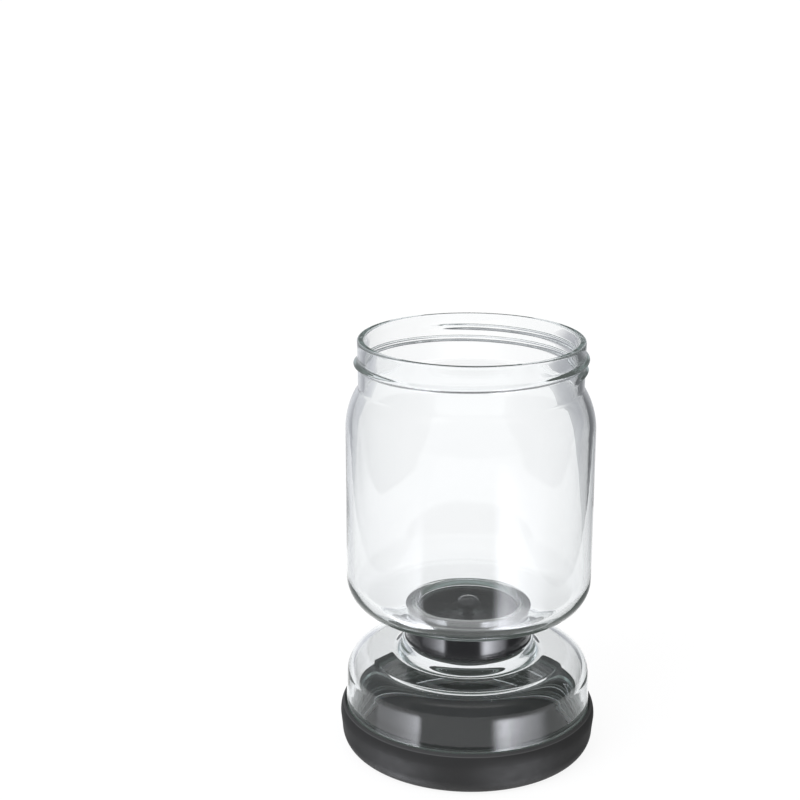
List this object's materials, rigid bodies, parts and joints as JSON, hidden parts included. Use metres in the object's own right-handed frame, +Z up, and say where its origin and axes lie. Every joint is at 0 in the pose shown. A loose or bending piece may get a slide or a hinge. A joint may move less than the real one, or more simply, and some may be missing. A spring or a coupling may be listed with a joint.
{
  "type": "pickle keeper",
  "caption": "Hourglass pickle keeper: a wide threaded glass jar over a black waist collar with a lift-out strainer, above a glass brine reservoir on a screw-on base cap.",
  "frame": {"origin": "middle of the face that the base cap stands on", "axes": "+Z up along the keeper's axis, from the base cap to the jar's mouth; +X and +Y level"},
  "size_m": [0.127, 0.127, 0.2068],
  "materials": {
    "glass": "clear, polished",
    "cap_plastic": "fine matte dark grey",
    "collar_plastic": "glossy black",
    "silicone": "translucent grey"
  },
  "bodies": {
    "base": {"base_cap": "cap_plastic"},
    "cap_seal": {"cap_seal": "silicone"},
    "reservoir": {"reservoir": "glass"},
    "collar_seal": {"collar_seal": "silicone"},
    "collar": {"collar": "collar_plastic"},
    "jar_seal": {"jar_seal": "silicone"},
    "jar": {"jar": "glass"},
    "strainer": {"strainer": "collar_plastic", "strainer_seal": "silicone"}
  },
  "joints": [
    {"name": "reservoir_rise", "type": "slide", "parent": "base", "child": "cap_seal", "axis": [0, 0, 1], "range_m": [0, 0.0048]},
    {"name": "reservoir_turn", "type": "hinge", "parent": "cap_seal", "child": "reservoir", "pos_m": [0, 0, 0.01], "axis": [0, 0, 1], "range_deg": [0, 288]},
    {"name": "collar_rise", "type": "slide", "parent": "reservoir", "child": "collar_seal", "axis": [0, 0, 1], "range_m": [0, 0.0019]},
    {"name": "collar_turn", "type": "hinge", "parent": "collar_seal", "child": "collar", "pos_m": [0, 0, 0.0585], "axis": [0, 0, 1], "range_deg": [0, 190]},
    {"name": "jar_rise", "type": "slide", "parent": "collar", "child": "jar_seal", "axis": [0, 0, 1], "range_m": [0, 0.0019]},
    {"name": "jar_turn", "type": "hinge", "parent": "jar_seal", "child": "jar", "pos_m": [0, 0, 0.0675], "axis": [0, 0, 1], "range_deg": [0, 190]},
    {"name": "strainer_lift", "type": "slide", "parent": "collar", "child": "strainer", "axis": [0, 0, 1], "range_m": [0, 0.15]}
  ],
  "couplings": [
    {"joint": "reservoir_turn", "follows": "reservoir_rise", "rad_per_m": 1047.2},
    {"joint": "collar_turn", "follows": "collar_rise", "rad_per_m": 1745.3},
    {"joint": "jar_turn", "follows": "jar_rise", "rad_per_m": 1745.3}
  ]
}
